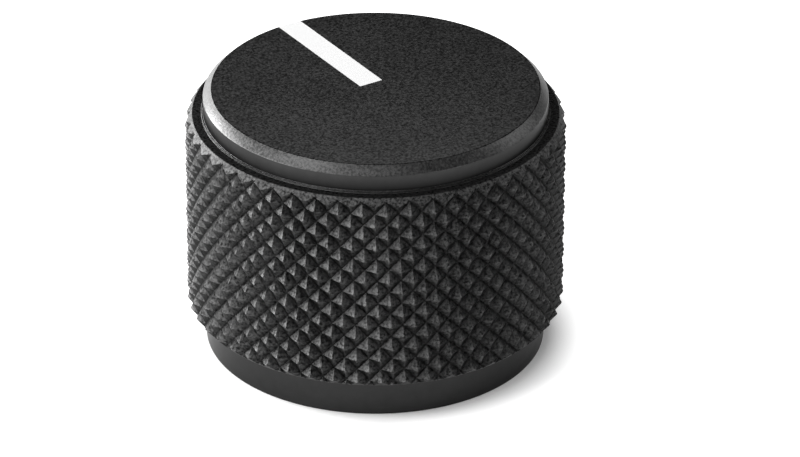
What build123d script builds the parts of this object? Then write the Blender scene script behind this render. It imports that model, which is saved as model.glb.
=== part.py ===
from build123d import *

import os
from math import ceil, cos, pi, radians, sin, sqrt, tan

# A turned control knob that stands on its base ring. The origin is the centre of
# the base, +Z is up the shaft's axis, and the pointer line runs out along +Y.
# All sizes are in millimetres and all angles in degrees.

# Knurled grip band: diameter over the tips, length, and depth of its grooves
KNURL_DIAMETER = 22.14
KNURL_LENGTH = 12.2
KNURL_DEPTH = 0.38
# Distance from groove to groove, square to them, and their angle to the knob's axis
KNURL_PITCH = 1.0
KNURL_ANGLE = 43.8
# How far the columns of diamonds drift round the band, per millimetre of height
KNURL_DRIFT = -0.2
# The first row of tips: how far it starts below the band, and its first tip from +X
KNURL_RUN_IN = 0.48
KNURL_START = 4.8
# 45 degree chamfers at both ends of the band, cut deeper than the grooves
KNURL_CHAMFER = 0.4

# Base ring: how far its wall is set in from the knurl's tips, and its height
BASE_STEP = 1.12
BASE_HEIGHT = 2.35
BASE_EDGE_BREAK = 0.06

# Cap: how far its wall is set in from the tips, its height and its rim's chamfer
CAP_STEP = 1.07
CAP_HEIGHT = 1.55
CAP_CHAMFER = 0.5
# Raised foot round the cap's wall
FOOT_WIDTH = 0.1
FOOT_HEIGHT = 0.1
FOOT_EDGE_BREAK = 0.04

# Pointer slot in the cap's face, from near the centre out through the rim
SLOT_WIDTH = 1.5
SLOT_DEPTH = 0.3
SLOT_INNER_END = 0.5

# Recess in the underside for the nut and washer of the control
RECESS_DIAMETER = 14.5
RECESS_DEPTH = 4.5
RECESS_EDGE_BREAK = 0.25

# Blind bore for the control's shaft, and the metal left between its end and the face
SHAFT_DIAMETER = 6.0
SHAFT_CLEARANCE = 0.025
BORE_LEAD_IN = 0.3
DRILL_POINT_ANGLE = 118.0
CROWN_THICKNESS = 2.1

# Grub screw in a radial hole on the pointer's side, above the recess
SCREW_DIAMETER = 3.0
SCREW_LENGTH = 5.0
SCREW_CLEARANCE = 0.03
SCREW_ABOVE_RECESS = 3.5
SCREW_SET_BACK = 0.4
SCREW_POINT_CHAMFER = 0.5
SCREW_EDGE_BREAK = 0.2
SOCKET_ACROSS_FLATS = 1.5
SOCKET_DEPTH = 2.0

# Places up the axis
SHOULDER_Z = BASE_HEIGHT + KNURL_LENGTH
TOP_Z = SHOULDER_Z + CAP_HEIGHT
SCREW_Z = RECESS_DEPTH + SCREW_ABOVE_RECESS

# Radii
KNURL_RADIUS = KNURL_DIAMETER / 2
ROOT_RADIUS = KNURL_RADIUS - KNURL_DEPTH
BASE_RADIUS = KNURL_RADIUS - BASE_STEP
CAP_RADIUS = KNURL_RADIUS - CAP_STEP
BORE_RADIUS = SHAFT_DIAMETER / 2 + SHAFT_CLEARANCE

# The knurl's lattice: a whole number of grooves each way round the band, and
# enough half diamonds up it to run out past both ends
GROOVES = round(pi * KNURL_DIAMETER * cos(radians(KNURL_ANGLE)) / KNURL_PITCH)
HALF_ROW = KNURL_PITCH / (2 * sin(radians(KNURL_ANGLE)))
HALF_ROWS = ceil((KNURL_LENGTH + KNURL_RUN_IN) / HALF_ROW)
COLUMNS = 2 * GROOVES


def turned(points):
    """A solid turned about +Z from a half section that starts and ends on the axis."""
    section = make_face(Plane.XZ * Polyline(*points, close=True))
    return revolve(section, Axis.Z)


def base_ring():
    """The plain ring that the knob stands on."""
    return turned([
        (0, 0),
        (BASE_RADIUS - BASE_EDGE_BREAK, 0),
        (BASE_RADIUS, BASE_EDGE_BREAK),
        (BASE_RADIUS, BASE_HEIGHT),
        (0, BASE_HEIGHT),
    ])


def cap():
    """The plain cap with its raised foot and chamfered rim."""
    foot = CAP_RADIUS + FOOT_WIDTH
    foot_top = SHOULDER_Z + FOOT_HEIGHT
    return turned([
        (0, SHOULDER_Z),
        (foot, SHOULDER_Z),
        (foot, foot_top - FOOT_EDGE_BREAK),
        (foot - FOOT_EDGE_BREAK, foot_top),
        (CAP_RADIUS, foot_top),
        (CAP_RADIUS, TOP_Z - CAP_CHAMFER),
        (CAP_RADIUS - CAP_CHAMFER, TOP_Z),
        (0, TOP_Z),
    ])


def lattice_point(column, row):
    """A corner of the knurl's lattice: tips and groove crossings take turns."""
    height = row * HALF_ROW
    angle = radians(KNURL_START + column * 360 / COLUMNS + KNURL_DRIFT * height)
    radius = KNURL_RADIUS if (column + row) % 2 == 0 else ROOT_RADIUS
    return (radius * cos(angle), radius * sin(angle), BASE_HEIGHT - KNURL_RUN_IN + height)


def polygon(corners):
    """A flat face with straight edges."""
    return Face(Wire.make_polygon(corners, close=True))


def cell_facets(column, row):
    """The two flat facets of one cell of the lattice, which meet along a groove."""
    low = lattice_point(column, row)
    low_next = lattice_point(column + 1, row)
    high = lattice_point(column, row + 1)
    high_next = lattice_point(column + 1, row + 1)
    if (column + row) % 2 == 0:
        return [polygon([low, low_next, high]), polygon([high_next, high, low_next])]
    return [polygon([low_next, high_next, low]), polygon([high, low, high_next])]


def diamonds():
    """A closed solid with pointed diamonds all round and flat ends."""
    facets = []
    for row in (0, HALF_ROWS):
        facets.append(polygon([lattice_point(column, row) for column in range(COLUMNS)]))
    for row in range(HALF_ROWS):
        for column in range(COLUMNS):
            facets += cell_facets(column, row)
    return Solid(Shell(facets))


def knurled_band():
    """The diamonds, turned down to the band's length with a chamfer at each end."""
    end_radius = KNURL_RADIUS - KNURL_CHAMFER
    blank = turned([
        (0, BASE_HEIGHT),
        (end_radius, BASE_HEIGHT),
        (KNURL_RADIUS, BASE_HEIGHT + KNURL_CHAMFER),
        (KNURL_RADIUS, SHOULDER_Z - KNURL_CHAMFER),
        (end_radius, SHOULDER_Z),
        (0, SHOULDER_Z),
    ])
    return diamonds() & blank


def underside():
    """What is bored out from below: the nut recess, the lead-in and the shaft's bore."""
    recess = RECESS_DIAMETER / 2
    point_z = TOP_Z - CROWN_THICKNESS
    bore_end_z = point_z - BORE_RADIUS / tan(radians(DRILL_POINT_ANGLE / 2))
    return turned([
        (0, 0),
        (recess + RECESS_EDGE_BREAK, 0),
        (recess, RECESS_EDGE_BREAK),
        (recess, RECESS_DEPTH),
        (BORE_RADIUS + BORE_LEAD_IN, RECESS_DEPTH),
        (BORE_RADIUS, RECESS_DEPTH + BORE_LEAD_IN),
        (BORE_RADIUS, bore_end_z),
        (0, point_z),
    ])


def radial_plane(distance):
    """A plane across the screw's axis, at a distance out along +Y."""
    return Plane(origin=(0, distance, SCREW_Z), z_dir=(0, 1, 0))


def screw_hole():
    """The screw's hole, from the knob's axis out through the knurl."""
    return extrude(radial_plane(0) * Circle(SCREW_DIAMETER / 2), KNURL_RADIUS)


def pointer_slot():
    """The space milled out for the pointer line, open at the rim."""
    length = KNURL_RADIUS - SLOT_INNER_END
    middle = Pos(0, SLOT_INNER_END + length / 2, TOP_Z)
    return middle * Box(SLOT_WIDTH, length, 2 * SLOT_DEPTH) & cap()


def knob_body():
    """The turned, knurled, bored and milled body, all one piece."""
    body = base_ring() + knurled_band() + cap()
    return body - underside() - screw_hole() - pointer_slot()


def indicator_inlay():
    """The enamel in the slot, level with the face and with the rim's chamfer."""
    return pointer_slot()


def set_screw():
    """The grub screw, with a chamfered flat point and a hex socket at its outer end."""
    radius = SCREW_DIAMETER / 2 - SCREW_CLEARANCE
    near = BORE_RADIUS + SCREW_SET_BACK
    far = near + SCREW_LENGTH
    half_section = Polyline(
        (near, SCREW_Z),
        (near, SCREW_Z + radius - SCREW_POINT_CHAMFER),
        (near + SCREW_POINT_CHAMFER, SCREW_Z + radius),
        (far - SCREW_EDGE_BREAK, SCREW_Z + radius),
        (far, SCREW_Z + radius - SCREW_EDGE_BREAK),
        (far, SCREW_Z),
        close=True,
    )
    shank = revolve(make_face(Plane.YZ * half_section), Axis((0, 0, SCREW_Z), (0, 1, 0)))
    socket = RegularPolygon(SOCKET_ACROSS_FLATS / sqrt(3), 6)
    return shank - extrude(radial_plane(far - SOCKET_DEPTH) * socket, SOCKET_DEPTH)


def write_step(name, shape):
    """One file for each piece, named after it."""
    shape.label = name
    export_step(shape, os.path.join("parts", name + ".step"))


os.makedirs("parts", exist_ok=True)
write_step("knob_body", knob_body())
write_step("indicator_inlay", indicator_inlay())
write_step("set_screw", set_screw())
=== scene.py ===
"""Looks for a turned control knob with a diamond-knurled grip and a white pointer line.

Sizes are in millimetres and angles in degrees, unless a comment says otherwise.
"""

import logging
import math
from collections.abc import Callable
from dataclasses import dataclass, field
from enum import Enum

import bpy
from mathutils import Matrix, Vector


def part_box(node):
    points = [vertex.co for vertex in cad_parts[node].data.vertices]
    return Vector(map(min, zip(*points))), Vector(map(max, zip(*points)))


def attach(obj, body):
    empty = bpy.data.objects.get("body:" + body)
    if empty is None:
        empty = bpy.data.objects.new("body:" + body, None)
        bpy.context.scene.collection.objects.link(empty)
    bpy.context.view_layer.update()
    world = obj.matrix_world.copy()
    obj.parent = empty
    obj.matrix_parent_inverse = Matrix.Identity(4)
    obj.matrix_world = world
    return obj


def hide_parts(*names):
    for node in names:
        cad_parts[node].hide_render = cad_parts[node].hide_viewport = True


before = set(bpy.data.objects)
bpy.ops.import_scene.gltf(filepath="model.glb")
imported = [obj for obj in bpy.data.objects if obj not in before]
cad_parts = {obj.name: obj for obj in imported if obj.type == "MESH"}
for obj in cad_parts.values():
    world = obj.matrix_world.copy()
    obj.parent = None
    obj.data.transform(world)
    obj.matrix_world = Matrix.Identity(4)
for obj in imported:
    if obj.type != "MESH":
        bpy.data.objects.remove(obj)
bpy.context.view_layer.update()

log = logging.getLogger("knob")
Pair = tuple[float, float]

# One millimetre in Blender's metres
MM = 0.001
# Vertices nearer than this become one: on turned shapes, and in the knurl's net
WELD = 0.0005
NET_WELD = 0.002


def metres(*sizes: float) -> tuple[float, ...]:
    """Sizes in Blender's metres."""
    return tuple(size * MM for size in sizes)


def plain_grey(value: float) -> tuple[float, ...]:
    """The colour of a grey, opaque."""
    return (value, value, value, 1)


class Grip(Enum):
    """What edit mode selects."""

    CORNERS = "VERT"
    EDGES = "EDGE"


class Cut(Enum):
    """What a tool body leaves of a piece."""

    OUTSIDE = "DIFFERENCE"
    INSIDE = "INTERSECT"


class Bench:
    """Modelling moves with Blender's own operators, as made by hand."""

    @staticmethod
    def clear() -> None:
        """Leave edit mode and deselect every object."""
        if bpy.context.object and bpy.context.object.mode != "OBJECT":
            bpy.ops.object.mode_set(mode="OBJECT")
        bpy.ops.object.select_all(action="DESELECT")

    @staticmethod
    def hold(piece: bpy.types.Object) -> None:
        """Make one object the selected and active one.

        Args:
            piece: the object to work on.
        """
        Bench.clear()
        piece.select_set(True)
        bpy.context.view_layer.objects.active = piece

    @staticmethod
    def name(label: str) -> bpy.types.Object:
        """Name the active object and its mesh.

        Args:
            label: the new name.

        Returns:
            The active object.
        """
        piece = bpy.context.object
        piece.name = label
        piece.data.name = label
        return piece

    @staticmethod
    def edit(piece: bpy.types.Object, grip: Grip = Grip.CORNERS) -> None:
        """Open a mesh for editing with nothing selected.

        Args:
            piece: the object to open.
            grip: what is selected from here on.
        """
        Bench.hold(piece)
        bpy.ops.object.mode_set(mode="EDIT")
        bpy.ops.mesh.select_mode(type=grip.value)
        bpy.ops.mesh.select_all(action="DESELECT")

    @staticmethod
    def pick_vertices(piece: bpy.types.Object, test: Callable[[Vector], bool]) -> None:
        """Select, in edit mode, the vertices that pass a test of their place.

        Args:
            piece: the object in edit mode.
            test: takes a vertex's place, in metres.
        """
        bpy.ops.object.mode_set(mode="OBJECT")
        for vertex in piece.data.vertices:
            vertex.select = test(vertex.co)
        bpy.ops.object.mode_set(mode="EDIT")

    @staticmethod
    def settle(piece: bpy.types.Object) -> bpy.types.Object:
        """Put the object's place into its mesh, so that it sits at the origin.

        Args:
            piece: the object to settle.

        Returns:
            The same object.
        """
        Bench.hold(piece)
        bpy.ops.object.transform_apply(location=True, rotation=True, scale=True)
        return piece

    @staticmethod
    def modify(piece: bpy.types.Object, kind: str, **settings: object) -> None:
        """Add a modifier, set it up and apply it.

        Args:
            piece: the object that takes the modifier.
            kind: the modifier's type.
            settings: its properties by name.
        """
        Bench.hold(piece)
        modifier = piece.modifiers.new(kind.lower(), kind)
        for key, value in settings.items():
            setattr(modifier, key, value)
        bpy.ops.object.modifier_apply(modifier=modifier.name)

    @staticmethod
    def carve(piece: bpy.types.Object, tool: bpy.types.Object, cut: Cut) -> None:
        """Cut a piece with a tool body, which is used up.

        Args:
            piece: the object that stays.
            tool: the other closed mesh.
            cut: what the tool leaves of the piece.
        """
        Bench.modify(
            piece, "BOOLEAN",
            object=tool, operation=cut.value, solver="EXACT", material_mode="TRANSFER",
        )
        bpy.data.objects.remove(tool)

    @staticmethod
    def repeat(piece: bpy.types.Object, count: int, step: Matrix) -> None:
        """Repeat a mesh by the same move again and again.

        Args:
            piece: what is repeated.
            count: how many there are in the end.
            step: the move from each copy to the next.
        """
        Bench.clear()
        bpy.ops.object.empty_add()
        guide = bpy.context.object
        guide.matrix_world = step
        bpy.context.view_layer.update()
        Bench.modify(
            piece, "ARRAY",
            count=count, use_relative_offset=False, use_object_offset=True, offset_object=guide,
        )
        bpy.data.objects.remove(guide)

    @staticmethod
    def clean(piece: bpy.types.Object, weld: float) -> None:
        """Merge doubles and turn every face outwards.

        Args:
            piece: the object to clean.
            weld: vertices nearer than this become one.
        """
        Bench.edit(piece)
        bpy.ops.mesh.select_all(action="SELECT")
        bpy.ops.mesh.remove_doubles(threshold=weld * MM)
        bpy.ops.mesh.normals_make_consistent(inside=False)
        bpy.ops.object.mode_set(mode="OBJECT")

    @staticmethod
    def lathe(label: str, outline: list[Pair], steps: int) -> bpy.types.Object:
        """Turn an outline about +Z: one vertex is drawn out along it, then spun.

        Args:
            label: the new object's name.
            outline: radius and height of each corner.
            steps: how many steps make the full turn.

        Returns:
            The turned object, with its place in its mesh.
        """
        Bench.clear()
        start = Vector((outline[0][0] * MM, 0, outline[0][1] * MM))
        bpy.ops.mesh.primitive_plane_add(size=MM, location=start)
        piece = Bench.settle(Bench.name(label))
        bpy.ops.object.mode_set(mode="EDIT")
        bpy.ops.mesh.select_all(action="SELECT")
        bpy.ops.mesh.merge(type="CENTER")
        for (radius, height), (radius_next, height_next) in zip(outline, outline[1:]):
            step = ((radius_next - radius) * MM, 0, (height_next - height) * MM)
            bpy.ops.mesh.extrude_region_move(TRANSFORM_OT_translate={"value": step})
        bpy.ops.mesh.select_all(action="SELECT")
        bpy.ops.mesh.spin(steps=steps, angle=math.tau, center=(0, 0, 0), axis=(0, 0, 1))
        bpy.ops.object.mode_set(mode="OBJECT")
        Bench.clean(piece, WELD)
        return piece


class Socket:
    """A shader socket that takes part in sums, so that maths reads as an expression."""

    def __init__(self, tree: "Tree", link: bpy.types.NodeSocket) -> None:
        """Wrap one output socket of a tree."""
        self.tree = tree
        self.link = link

    def _maths(self, operation: str, first: object, second: object) -> "Socket":
        """Add one Math node on two values or sockets."""
        return self.tree.node("ShaderNodeMath", {"operation": operation}, {0: first, 1: second})

    def __add__(self, other: object) -> "Socket":
        """Sum."""
        return self._maths("ADD", self, other)

    __radd__ = __add__

    def __mul__(self, other: object) -> "Socket":
        """Product."""
        return self._maths("MULTIPLY", self, other)

    __rmul__ = __mul__

    def __sub__(self, other: object) -> "Socket":
        """Difference."""
        return self._maths("SUBTRACT", self, other)

    def __rsub__(self, other: object) -> "Socket":
        """Difference the other way round."""
        return self._maths("SUBTRACT", other, self)

    def __pow__(self, other: object) -> "Socket":
        """Power."""
        return self._maths("POWER", self, other)

    def __rpow__(self, other: object) -> "Socket":
        """Power the other way round."""
        return self._maths("POWER", other, self)

    def around(self, middle: float, width: float) -> "Socket":
        """This pattern from 0 to 1, made one of some width about a middle value."""
        return self * width + (middle - width / 2)


class Tree:
    """A material's node tree, filled through one method."""

    def __init__(self, label: str) -> None:
        """Start an empty material.

        Args:
            label: the material's name.
        """
        self.material = bpy.data.materials.new(label)
        self.material.use_nodes = True
        self.nodes = self.material.node_tree.nodes
        self.links = self.material.node_tree.links
        self.nodes.clear()

    def node(
        self,
        kind: str,
        settings: dict[str, object] | None = None,
        inputs: dict[object, object] | None = None,
        output: object = 0,
    ) -> Socket:
        """Add a node, set it up, then fill its sockets.

        Args:
            kind: the node's type.
            settings: its properties by name.
            inputs: values or sockets by the input's name or number.
            output: the name or number of the output to hand back.

        Returns:
            The chosen output, or the first input's socket of a node with none.
        """
        made = self.nodes.new(kind)
        for key, value in (settings or {}).items():
            setattr(made, key, value)
        for key, value in (inputs or {}).items():
            if isinstance(value, Socket):
                self.links.new(value.link, made.inputs[key])
            else:
                made.inputs[key].default_value = value
        return Socket(self, made.outputs[output] if made.outputs else made.inputs[0])

    def place(self) -> Socket:
        """The point on the piece, in metres."""
        return self.node("ShaderNodeTexCoord", output="Object")

    def along(self, axis: str) -> Socket:
        """How far the point lies along X, Y or Z, in metres."""
        return self.node("ShaderNodeSeparateXYZ", inputs={0: self.place()}, output=axis)

    def noise(self, size: float, detail: float) -> Socket:
        """A soft random pattern from 0 to 1.

        Args:
            size: how wide its blotches are.
            detail: how many finer layers it has.

        Returns:
            The pattern's value.
        """
        return self.node(
            "ShaderNodeTexNoise",
            inputs={"Vector": self.place(), "Scale": 1 / (size * MM), "Detail": detail},
        )

    def span(self, value: Socket, old: Pair, new: Pair) -> Socket:
        """A value, stretched from an old range to a new one and held at its ends."""
        ends = {"From Min": old[0], "From Max": old[1], "To Min": new[0], "To Max": new[1]}
        return self.node("ShaderNodeMapRange", {"clamp": True}, {"Value": value, **ends})

    def grey(self, value: Socket) -> Socket:
        """A grey colour from a value."""
        return self.node("ShaderNodeCombineColor", inputs={0: value, 1: value, 2: value})

    def bump(self, relief: Socket, depth: float) -> Socket:
        """The normal of a relief from 0 to 1 that is so deep."""
        return self.node("ShaderNodeBump", inputs={"Distance": depth * MM, "Height": relief})

    def finish(self, inputs: dict[str, object]) -> bpy.types.Material:
        """Close the tree with a Principled shader.

        Args:
            inputs: values or sockets by the shader's input names.

        Returns:
            The finished material.
        """
        shader = self.node("ShaderNodeBsdfPrincipled", inputs=inputs)
        self.node("ShaderNodeOutputMaterial", inputs={"Surface": shader})
        return self.material


@dataclass(frozen=True)
class BlackAnodised:
    """Aluminium, anodised so dark that its base colour only says how strongly it mirrors."""

    label: str
    # How strongly it mirrors face on, and how much of that is left towards the limb
    gloss: float
    edge: float
    roughness: float

    def close(self, tree: Tree, tone: Socket, rough: Socket, normal: Socket) -> bpy.types.Material:
        """Close a tree as this metal.

        Args:
            tree: the material's tree.
            tone: how the mirroring varies, about 1, with the painted shade of the knurl and the
                turned walls in it.
            rough: the roughness.
            normal: the bumped normal.

        Returns:
            The finished material.
        """
        return tree.finish({
            "Base Color": tree.grey(tone * self.gloss),
            "Metallic": 1.0,
            "Specular Tint": plain_grey(self.edge),
            "Roughness": rough,
            "Normal": normal,
        })


@dataclass(frozen=True)
class BlastedBlack(BlackAnodised):
    """The bead-blasted surface: an even leathery grain that sparkles a little."""

    label: str = "blasted_black"
    gloss: float = 0.077
    edge: float = 0.4
    roughness: float = 0.42
    rough_width: float = 0.3
    # The pits: their width, their depth and how far their tones go from the mean
    grain: float = 0.15
    depth: float = 0.02
    contrast: float = 0.56
    # The finer pits among them: their width against the others', and their share
    fine_size: float = 0.45
    fine_share: float = 0.35
    # The part of the pits' pattern that the tones follow
    pit_span: Pair = (0.36, 0.64)
    # Faint clouds: their size and the width of their tones
    cloud: float = 4.0
    cloud_width: float = 0.3

    def tone_and_painted_shade(self, tree: Tree) -> Socket:
        """How the mirroring varies over the knob, about 1."""
        return tree.noise(self.cloud, detail=1.0).around(1.0, self.cloud_width)

    def build(self) -> bpy.types.Material:
        """Make the material.

        Returns:
            The finished material.
        """
        tree = Tree(self.label)
        coarse = tree.noise(self.grain, detail=1.0)
        fine = tree.noise(self.grain * self.fine_size, detail=1.0)
        pits = coarse * (1 - self.fine_share) + fine * self.fine_share
        specks = tree.span(pits, self.pit_span, (1 - self.contrast, 1 + self.contrast))
        return self.close(
            tree,
            specks * self.tone_and_painted_shade(tree),
            pits.around(self.roughness, self.rough_width),
            tree.bump(pits, self.depth),
        )


@dataclass(frozen=True)
class KnurledBlack(BlastedBlack):
    """The blasted knurl, with painted shade in its grooves: it mirrors less there and more towards
    its tips.
    """

    label: str = "knurled_black_groove_shade"
    gloss: float = 0.0435
    edge: float = 0.5
    contrast: float = 0.8
    # Radii of the grooves' bottoms and of the tips, and how strongly each mirrors: painted shade in
    # the grooves, giving way to a lighter tone at the tips
    groove_shade_radii: Pair = (10.74, 11.07)
    painted_shades: Pair = (0.45, 1.25)

    def tone_and_painted_shade(self, tree: Tree) -> Socket:
        """Painted shade: how the mirroring grows from the grooves to the tips.

        Args:
            tree: the material's tree.

        Returns:
            A factor of about 1.
        """
        x, y = tree.along("X"), tree.along("Y")
        radius = (x * x + y * y) ** 0.5
        return tree.span(radius, metres(*self.groove_shade_radii), self.painted_shades)


@dataclass(frozen=True)
class TurnedBlack(BlackAnodised):
    """The walls left smooth from the lathe, with the faint rings of the tool."""

    label: str = "turned_black_painted_shade"
    gloss: float = 0.031
    edge: float = 0.7
    roughness: float = 0.34
    rough_width: float = 0.1
    # The tool's rings: their pitch, how far they wander, in radians, and over what size
    pitch: float = 0.05
    wander: float = 3.0
    wander_size: float = 2.0
    # The relief: its depth and the shares of the rings and of the speckle
    depth: float = 0.002
    ring_share: float = 0.03
    speckle_share: float = 0.5
    speckle: float = 0.06
    # A haze: its size and the width of its tones
    haze: float = 0.5
    haze_width: float = 0.3
    # The cap's wall grows brighter between these heights: a painted reflection that leaves its foot
    # in painted shade. The base's wall is plain.
    shade_heights: Pair = (14.62, 15.5)
    painted_shades: Pair = (0.3, 1.2)

    def tone_and_painted_shade(self, height: Socket, tree: Tree) -> Socket:
        """Painted shade and reflection: how the mirroring varies up the knob.

        Args:
            height: the point's height, in metres.
            tree: the material's tree.

        Returns:
            A factor: 1 on the base's wall, and a growing one on the cap's.
        """
        low, high = metres(*self.shade_heights)
        cap_shade = tree.span(height, (low, high), self.painted_shades)
        on_base = tree.node("ShaderNodeMath", {"operation": "LESS_THAN"}, {0: height, 1: low})
        return cap_shade + on_base * (1 - self.painted_shades[0])

    def build(self) -> bpy.types.Material:
        """Make the material.

        Returns:
            The finished material.
        """
        tree = Tree(self.label)
        height = tree.along("Z")
        phase = height * (math.tau / (self.pitch * MM))
        turns = phase + tree.noise(self.wander_size, detail=2.0) * self.wander
        rings = tree.node("ShaderNodeMath", {"operation": "SINE"}, {0: turns})
        haze = tree.noise(self.haze, detail=3.0)
        relief = rings * self.ring_share + tree.noise(self.speckle, detail=2.0) * self.speckle_share
        return self.close(
            tree,
            haze.around(1.0, self.haze_width) * self.tone_and_painted_shade(height, tree),
            haze.around(self.roughness, self.rough_width),
            tree.bump(relief, self.depth),
        )


@dataclass(frozen=True)
class WhiteEnamel:
    """White enamel, wiped level and cured, with a faint skin."""

    shade: float = 0.93
    shade_width: float = 0.04
    roughness: float = 0.35
    rough_width: float = 0.1
    grain: float = 0.35
    depth: float = 0.004

    def build(self) -> bpy.types.Material:
        """Make the material.

        Returns:
            The finished material.
        """
        tree = Tree("white_enamel")
        skin = tree.noise(self.grain, detail=2.0)
        return tree.finish({
            "Base Color": tree.grey(skin.around(self.shade, self.shade_width)),
            "Roughness": skin.around(self.roughness, self.rough_width),
            "Normal": tree.bump(skin, self.depth),
        })


@dataclass(frozen=True)
class BlackenedSteel:
    """Blackened screw steel, a little rougher in places."""

    shade: float = 0.05
    shade_width: float = 0.6
    roughness: float = 0.38
    rough_width: float = 0.2
    metallic: float = 0.85
    grain: float = 0.3
    depth: float = 0.004

    def build(self) -> bpy.types.Material:
        """Make the material.

        Returns:
            The finished material.
        """
        tree = Tree("blackened_steel")
        haze = tree.noise(self.grain, detail=3.0)
        return tree.finish({
            "Base Color": tree.grey(haze.around(1.0, self.shade_width) * self.shade),
            "Roughness": haze.around(self.roughness, self.rough_width),
            "Metallic": self.metallic,
            "Normal": tree.bump(haze, self.depth),
        })


class Skin(Enum):
    """The finishes of the one-piece body, by their place in its list of slots."""

    BLASTED = 0
    RIM = 1
    BEVEL = 2
    SHOULDER = 3
    KNURLED = 4
    TURNED = 5


FINISHES = {
    Skin.BLASTED: BlastedBlack(),
    Skin.RIM: BlastedBlack("blasted_rim", 0.072, 1.0, contrast=0.4, depth=0.012),
    Skin.BEVEL: BlastedBlack("blasted_bevel", 0.062, 1.0, 0.6, contrast=0.8),
    # The shoulder's copy mirrors far less than the top face: painted shade beside the cap.
    Skin.SHOULDER: BlastedBlack("blasted_shoulder_painted_shade", 0.03, 0.3, 0.62, contrast=0.75),
    Skin.KNURLED: KnurledBlack(),
    Skin.TURNED: TurnedBlack(),
}


@dataclass
class KnurlNet:
    """The diamond knurl as a closed net that runs past both ends of its band.

    Columns and rows count the half diamonds of its lattice from the first tip.
    """

    # Over the tips, before the band is turned down, and from there to the grooves
    diameter: float = 22.2
    depth: float = 0.36
    # Grooves round the band, each way, and the height of half a diamond
    grooves: int = 50
    half_row: float = 0.7224
    # How far the columns drift round the band, per millimetre of height
    drift: float = -0.2
    # The first tip's angle from +X and its height
    start: float = 5.5
    first_tip: float = 2.0
    # The rows of tips: how many there are, and how many of them are below the first tip
    rows: int = 27
    rows_below: int = 4

    def angle(self, columns: float, rows: float) -> float:
        """Polar angle, in radians, of a place in the lattice."""
        turn = columns * 180 / self.grooves + rows * self.half_row * self.drift
        return math.radians(self.start + turn)

    def height(self, rows: float) -> float:
        """Height of a row of the lattice."""
        return self.first_tip + rows * self.half_row

    def point(self, columns: float, rows: float, radius: float) -> Vector:
        """A place in the lattice.

        Args:
            columns: half diamonds round the band.
            rows: half diamonds up it.
            radius: how far the place is from the axis.

        Returns:
            The place, in metres.
        """
        angle = self.angle(columns, rows)
        flat = Vector((math.cos(angle), math.sin(angle), 0)) * radius
        return (flat + Vector((0, 0, self.height(rows)))) * MM

    def tooth(self) -> bpy.types.Object:
        """Shape one pointed diamond from a four-sided cone.

        Returns:
            The diamond, open at its base.
        """
        row = -self.rows_below
        column = row % 2
        tip_radius = self.diameter / 2
        root = tip_radius - self.depth
        goals = [
            self.point(column + 1, row, root),
            self.point(column, row + 1, root),
            self.point(column - 1, row, root),
            self.point(column, row - 1, root),
            self.point(column, row, tip_radius),
        ]
        Bench.clear()
        bpy.ops.mesh.primitive_cone_add(
            vertices=4, radius1=MM, radius2=0, depth=MM, end_fill_type="NOTHING",
        )
        piece = Bench.name("knurl_net")
        corners = [vertex.co.copy() for vertex in piece.data.vertices]
        corners.sort(key=lambda co: (co.z, math.atan2(co.y, co.x)))
        for corner, goal in zip(corners, goals):
            Bench.edit(piece)
            Bench.pick_vertices(piece, lambda co, at=corner: (co - at).length < WELD * MM)
            bpy.ops.transform.translate(value=goal - corner)
            bpy.ops.object.mode_set(mode="OBJECT")
        return piece

    def close_end(self, piece: bpy.types.Object, height: float, above: bool) -> None:
        """Draw an open edge of the net out to a level ring and fill it.

        Args:
            piece: the net.
            height: the level of the flat end.
            above: whether it is the upper end.
        """
        Bench.edit(piece, Grip.EDGES)
        bpy.ops.mesh.select_non_manifold(
            extend=False, use_wire=False, use_boundary=True,
            use_multi_face=False, use_non_contiguous=False, use_verts=False,
        )
        bpy.ops.object.mode_set(mode="OBJECT")
        middle = self.height(self.rows / 2 - self.rows_below) * MM
        for edge in piece.data.edges:
            ends = [piece.data.vertices[i].co.z for i in edge.vertices]
            if edge.select and (max(ends) < middle) == above:
                edge.select = False
        rim = {i for edge in piece.data.edges if edge.select for i in edge.vertices}
        for vertex in piece.data.vertices:
            vertex.select = vertex.index in rim
        bpy.ops.object.mode_set(mode="EDIT")
        bpy.ops.mesh.extrude_region_move(TRANSFORM_OT_translate={"value": (0, 0, 0)})
        bpy.ops.transform.resize(value=(1, 1, 0), center_override=(0, 0, height * MM))
        bpy.ops.mesh.edge_face_add()
        bpy.ops.object.mode_set(mode="OBJECT")

    def build(self) -> bpy.types.Object:
        """Make the whole net.

        Returns:
            A closed mesh that stands past both ends of the band.
        """
        piece = self.tooth()
        Bench.repeat(piece, self.grooves, Matrix.Rotation(math.tau / self.grooves, 4, "Z"))
        turn = self.angle(1, 1) - self.angle(0, 0)
        up = Matrix.Translation((0, 0, self.half_row * MM)) @ Matrix.Rotation(turn, 4, "Z")
        Bench.repeat(piece, self.rows, up)
        Bench.clean(piece, NET_WELD)
        self.close_end(piece, self.height(-self.rows_below - 2), above=False)
        self.close_end(piece, self.height(self.rows - self.rows_below + 1), above=True)
        Bench.clean(piece, NET_WELD)
        return piece


@dataclass(frozen=True)
class Tilt:
    """Upward parts of a face's normal that part the finishes: 0 on a wall, 1 if level.

    Slope and wall are the most that a slope or a wall has. The others are the least.
    """

    level: float = 0.99
    slope: float = 0.9
    easing: float = 0.75
    shoulder: float = 0.7
    chamfer: float = 0.53
    corner: float = 0.5
    wall: float = 0.3


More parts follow.
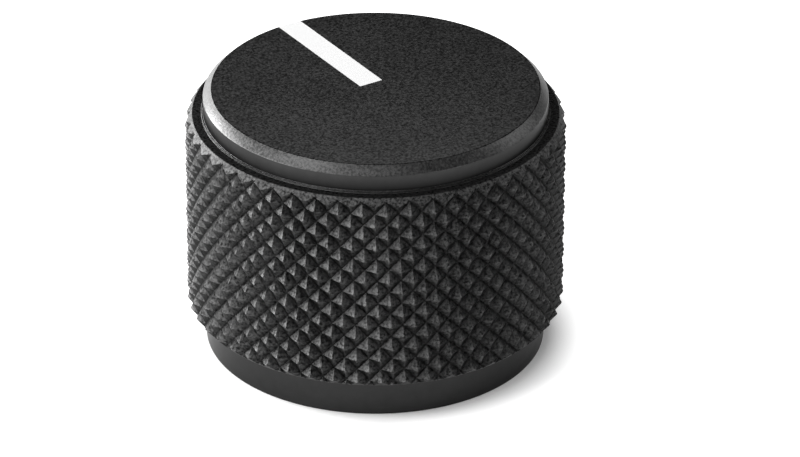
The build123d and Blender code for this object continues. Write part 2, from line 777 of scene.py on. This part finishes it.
@dataclass
class KnobBody:
    """The one-piece body: base ring, knurled band, shoulder, cap and bored underside."""

    base_radius: float = 9.95
    base_height: float = 2.35
    base_break: float = 0.06
    band_radius: float = 11.068
    band_top: float = 14.55
    # The band's end chamfers: the lower one's size, and the upper one's width and height
    band_chamfer: float = 0.398
    upper_chamfer: Pair = (0.44, 0.55)
    foot_radius: float = 10.1
    foot_height: float = 0.1
    cap_radius: float = 10.0
    cap_chamfer: float = 0.5
    recess_radius: float = 7.25
    recess_depth: float = 4.5
    recess_break: float = 0.25
    bore_radius: float = 3.025
    bore_lead_in: float = 0.3
    # The height of the drill's point in the bore, and its angle
    bore_point: float = 14.0
    drill_angle: float = 118.0
    screw_radius: float = 1.5
    screw_sides: int = 64
    # The turned blank: its steps in a full turn, and its rounded edges
    steps: int = 240
    edge_round: float = 0.035
    edge_segments: int = 3
    edge_angle: float = 20.0
    # Faces that meet at less than this are shaded as one surface
    smooth_angle: float = 25.0
    # How far a face may lie from the level that it belongs to
    slack: float = 0.01
    tilt: Tilt = Tilt()
    knurl: KnurlNet = field(default_factory=KnurlNet)

    def outline(self) -> list[Pair]:
        """The half section, from the bore's point down and round to the face's centre.

        Returns:
            Radius and height of each corner.
        """
        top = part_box("knob_body")[1].z / MM
        point_height = self.bore_radius / math.tan(math.radians(self.drill_angle / 2))
        return [
            (0, self.bore_point),
            (self.bore_radius, self.bore_point - point_height),
            (self.bore_radius, self.recess_depth + self.bore_lead_in),
            (self.bore_radius + self.bore_lead_in, self.recess_depth),
            (self.recess_radius, self.recess_depth),
            (self.recess_radius, self.recess_break),
            (self.recess_radius + self.recess_break, 0),
            (self.base_radius - self.base_break, 0),
            (self.base_radius, self.base_break),
            (self.base_radius, self.base_height),
            (self.band_radius - self.band_chamfer, self.base_height),
            (self.band_radius, self.base_height + self.band_chamfer),
            (self.band_radius, self.band_top - self.upper_chamfer[1]),
            (self.band_radius - self.upper_chamfer[0], self.band_top),
            (self.foot_radius, self.band_top),
            (self.foot_radius, self.band_top + self.foot_height),
            (self.cap_radius, self.band_top + self.foot_height),
            (self.cap_radius, top - self.cap_chamfer),
            (self.cap_radius - self.cap_chamfer, top),
            (0, top),
        ]

    def turn(self) -> bpy.types.Object:
        """Turn the blank and round its edges.

        Returns:
            The blank, with the band still plain.
        """
        piece = Bench.lathe("knob_dressed", self.outline(), self.steps)
        Bench.modify(
            piece, "BEVEL",
            width=self.edge_round * MM, segments=self.edge_segments, use_clamp_overlap=True,
            limit_method="ANGLE", angle_limit=math.radians(self.edge_angle),
        )
        return piece

    def mill(self, piece: bpy.types.Object) -> None:
        """Cut the pointer slot and the screw's hole.

        Args:
            piece: the knurled body.
        """
        reach = self.band_radius * MM
        low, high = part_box("indicator_inlay")
        Bench.clear()
        bpy.ops.mesh.primitive_cube_add(
            size=1,
            location=((low.x + high.x) / 2, (low.y + reach) / 2, high.z),
            scale=(high.x - low.x, reach - low.y, 2 * (high.z - low.z)),
        )
        Bench.carve(piece, Bench.settle(Bench.name("slot_tool")), Cut.OUTSIDE)
        low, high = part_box("set_screw")
        Bench.clear()
        bpy.ops.mesh.primitive_cylinder_add(
            vertices=self.screw_sides,
            radius=self.screw_radius * MM,
            depth=reach,
            location=(0, reach / 2, (low.z + high.z) / 2),
            rotation=(math.pi / 2, 0, 0),
        )
        Bench.carve(piece, Bench.settle(Bench.name("hole_tool")), Cut.OUTSIDE)

    def skin_of(self, centre: Vector, normal: Vector) -> Skin:
        """Which finish a face has.

        Args:
            centre: the face's centre, in metres.
            normal: its direction.

        Returns:
            The finish.
        """
        tilt, slack = self.tilt, self.slack
        radius = math.hypot(centre.x, centre.y) / MM
        height = centre.z / MM
        if height < self.base_height or radius < self.recess_radius and normal.z < tilt.slope:
            return Skin.TURNED
        on_foot = slack < height - self.band_top < self.foot_height + slack
        outside_cap = radius > self.cap_radius + 2 * slack
        if on_foot and outside_cap and tilt.corner < normal.z < tilt.slope:
            return Skin.RIM
        if height >= self.band_top - slack and normal.z < tilt.wall:
            return Skin.TURNED
        if height > self.band_top + self.foot_height + slack:
            if normal.z > tilt.level:
                return Skin.BLASTED
            return Skin.SHOULDER if normal.z > tilt.easing else Skin.RIM
        if height > self.band_top - 2 * slack and normal.z > tilt.shoulder:
            return Skin.SHOULDER
        return Skin.BEVEL if tilt.chamfer < abs(normal.z) < tilt.slope else Skin.KNURLED

    def dress(self, piece: bpy.types.Object) -> None:
        """Give each face its finish, and shade the turned surfaces smooth.

        Args:
            piece: the finished shape.
        """
        piece.data.materials.clear()
        for skin in Skin:
            piece.data.materials.append(FINISHES[skin].build())
        for face in piece.data.polygons:
            face.material_index = self.skin_of(face.center, face.normal).value
        Bench.hold(piece)
        bpy.ops.object.shade_smooth_by_angle(angle=math.radians(self.smooth_angle))

    def build(self) -> bpy.types.Object:
        """Make the body, dress it and put it on the frame.

        Returns:
            The finished piece.
        """
        piece = self.turn()
        Bench.carve(piece, self.knurl.build(), Cut.INSIDE)
        self.mill(piece)
        Bench.clean(piece, WELD)
        self.dress(piece)
        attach(piece, "root")
        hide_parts("knob_body")
        return piece


@dataclass(frozen=True)
class Lamp:
    """A soft lamp: its bearing is counted to the right from the camera's own.

    Its power is in watts, and its width and height are in metres.
    """

    label: str
    bearing: float
    elevation: float
    power: float
    width: float = 0.24
    height: float = 0.24


LAMPS = (
    Lamp("key", -120, 9, 6.6, height=0.22),
    Lamp("key_back", -150, 10, 0.88),
    Lamp("key_side", -92, 8, 1.9, height=0.2),
    Lamp("front_left", -60, 11, 1.7),
    Lamp("front", -28, 12, 0.65),
    Lamp("over_left", -64, 52, 1.25),
    Lamp("over_front", -5, 58, 0.36),
    Lamp("over_back", 180, 56, 0.31),
    Lamp("right_back", 113, 33, 0.5),
    Lamp("right", 48, 13, 0.3),
)


@dataclass
class Studio:
    """A white floor, soft lamps and the camera. Its distances are in metres."""

    # The camera, and the point it looks at: its height on the axis in millimetres, and
    # how far it is moved to the camera's right and up from there
    azimuth: float = -32.9
    elevation: float = 28.92
    roll: float = 0.28
    distance: float = 0.330
    lens: float = 253.98
    target_height: float = 7.7
    aim_right: float = 1.44
    aim_up: float = -0.842
    sight: Pair = (0.01, 10)
    lamp_distance: float = 0.6
    # The room's plain light: its grey and its strength
    room_grey: float = 0.8
    room_strength: float = 0.19
    # The floor: its size, its grey, and how far it is below the knob, in millimetres
    floor_size: float = 1.6
    floor_grey: float = 0.9
    floor_drop: float = 0.01
    # The floor's glow: its centre, where it starts and ends growing, in millimetres, and
    # its strength there. Weaker near the knob, the glow leaves a painted shadow there.
    painted_shadow_centre: Pair = (0.17, -0.47)
    painted_shadow_span: Pair = (9.7, 11.6)
    glow: Pair = (0.1, 0.7)

    @staticmethod
    def direction(bearing: float, elevation: float) -> Vector:
        """The direction from the knob to a bearing from -Y and an elevation."""
        a, e = math.radians(bearing), math.radians(elevation)
        return Vector((math.sin(a) * math.cos(e), -math.cos(a) * math.cos(e), math.sin(e)))

    def place_camera(self) -> None:
        """Set up the camera at the photograph's angle."""
        turn = math.radians(self.azimuth)
        back = self.direction(self.azimuth, self.elevation)
        right = Vector((math.cos(turn), math.sin(turn), 0))
        up = back.cross(right)
        target = Vector((0, 0, self.target_height))
        aim = (target + right * self.aim_right + up * self.aim_up) * MM
        Bench.clear()
        bpy.ops.object.camera_add(location=aim + back * self.distance)
        camera = bpy.context.object
        look = (-back).to_track_quat("-Z", "Y").to_matrix()
        roll = Matrix.Rotation(math.radians(self.roll), 3, "Z")
        camera.rotation_euler = (look @ roll).to_euler()
        camera.data.lens = self.lens
        camera.data.clip_start, camera.data.clip_end = self.sight
        bpy.context.scene.camera = camera

    def hang(self, kind: Lamp) -> None:
        """Add a soft rectangular lamp that looks at the knob.

        Args:
            kind: the lamp's place, size and power.
        """
        away = self.direction(self.azimuth + kind.bearing, kind.elevation)
        Bench.clear()
        bpy.ops.object.light_add(type="AREA", location=away * self.lamp_distance)
        lamp = bpy.context.object
        lamp.name = kind.label
        lamp.rotation_euler = away.to_track_quat("Z", "Y").to_euler()
        lamp.data.shape = "RECTANGLE"
        lamp.data.size, lamp.data.size_y = kind.width, kind.height
        lamp.data.energy = kind.power

    def light_room(self) -> None:
        """Fill the room with plain pale light."""
        room = bpy.data.worlds.new("room")
        bpy.context.scene.world = room
        room.use_nodes = True
        light = room.node_tree.nodes["Background"].inputs
        light["Color"].default_value = plain_grey(self.room_grey)
        light["Strength"].default_value = self.room_strength

    def paint_floor(self) -> bpy.types.Material:
        """Make the floor's white, which glows past the knob and keeps its shadow beside it,
        deepened there by a painted shadow where the glow is weaker.

        Only the camera sees the glow, and what mirrors it or is seen through.

        Returns:
            The finished material.
        """
        tree = Tree("white_sweep")
        points = {0: tree.place(), 1: metres(*self.painted_shadow_centre, 0)}
        # Painted shadow: the glow fades towards a centre a little off the knob's axis, and mirrors
        # show it too
        away = tree.node("ShaderNodeVectorMath", {"operation": "DISTANCE"}, points, "Value")
        strength = tree.span(away, metres(*self.painted_shadow_span), self.glow)
        white = plain_grey(self.floor_grey)
        paint = tree.node("ShaderNodeBsdfDiffuse", inputs={"Color": white})
        light = tree.node("ShaderNodeEmission", inputs={"Color": tree.grey(strength)})
        both = tree.node("ShaderNodeAddShader", inputs={0: paint, 1: light})
        camera, glossy, through = (
            tree.node("ShaderNodeLightPath", output=f"Is {kind} Ray")
            for kind in ("Camera", "Glossy", "Transmission")
        )
        seen = camera + glossy + through
        mixed = tree.node("ShaderNodeMixShader", inputs={0: seen, 1: paint, 2: both})
        tree.node("ShaderNodeOutputMaterial", inputs={"Surface": mixed})
        return tree.material

    def lay_floor(self) -> None:
        """Lay the floor, just clear of the knob's underside."""
        Bench.clear()
        bpy.ops.mesh.primitive_plane_add(
            size=self.floor_size, location=(0, 0, -self.floor_drop * MM),
        )
        floor = Bench.name("floor")
        floor.data.materials.append(self.paint_floor())

    def build(self) -> None:
        """Set up the whole studio."""
        bpy.context.scene.view_settings.view_transform = "Standard"
        self.place_camera()
        self.light_room()
        self.lay_floor()
        for kind in LAMPS:
            self.hang(kind)


def main() -> None:
    """Build the knob's dressed pieces and the studio."""
    logging.basicConfig(level=logging.INFO, format="%(message)s")
    body = KnobBody().build()
    log.info("%s: %d faces", body.name, len(body.data.polygons))
    for node, finish in (("indicator_inlay", WhiteEnamel()), ("set_screw", BlackenedSteel())):
        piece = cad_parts[node]
        piece.data.materials.clear()
        piece.data.materials.append(finish.build())
        log.info("%s: carried over and dressed", node)
    Studio().build()


if __name__ == "__main__":
    main()
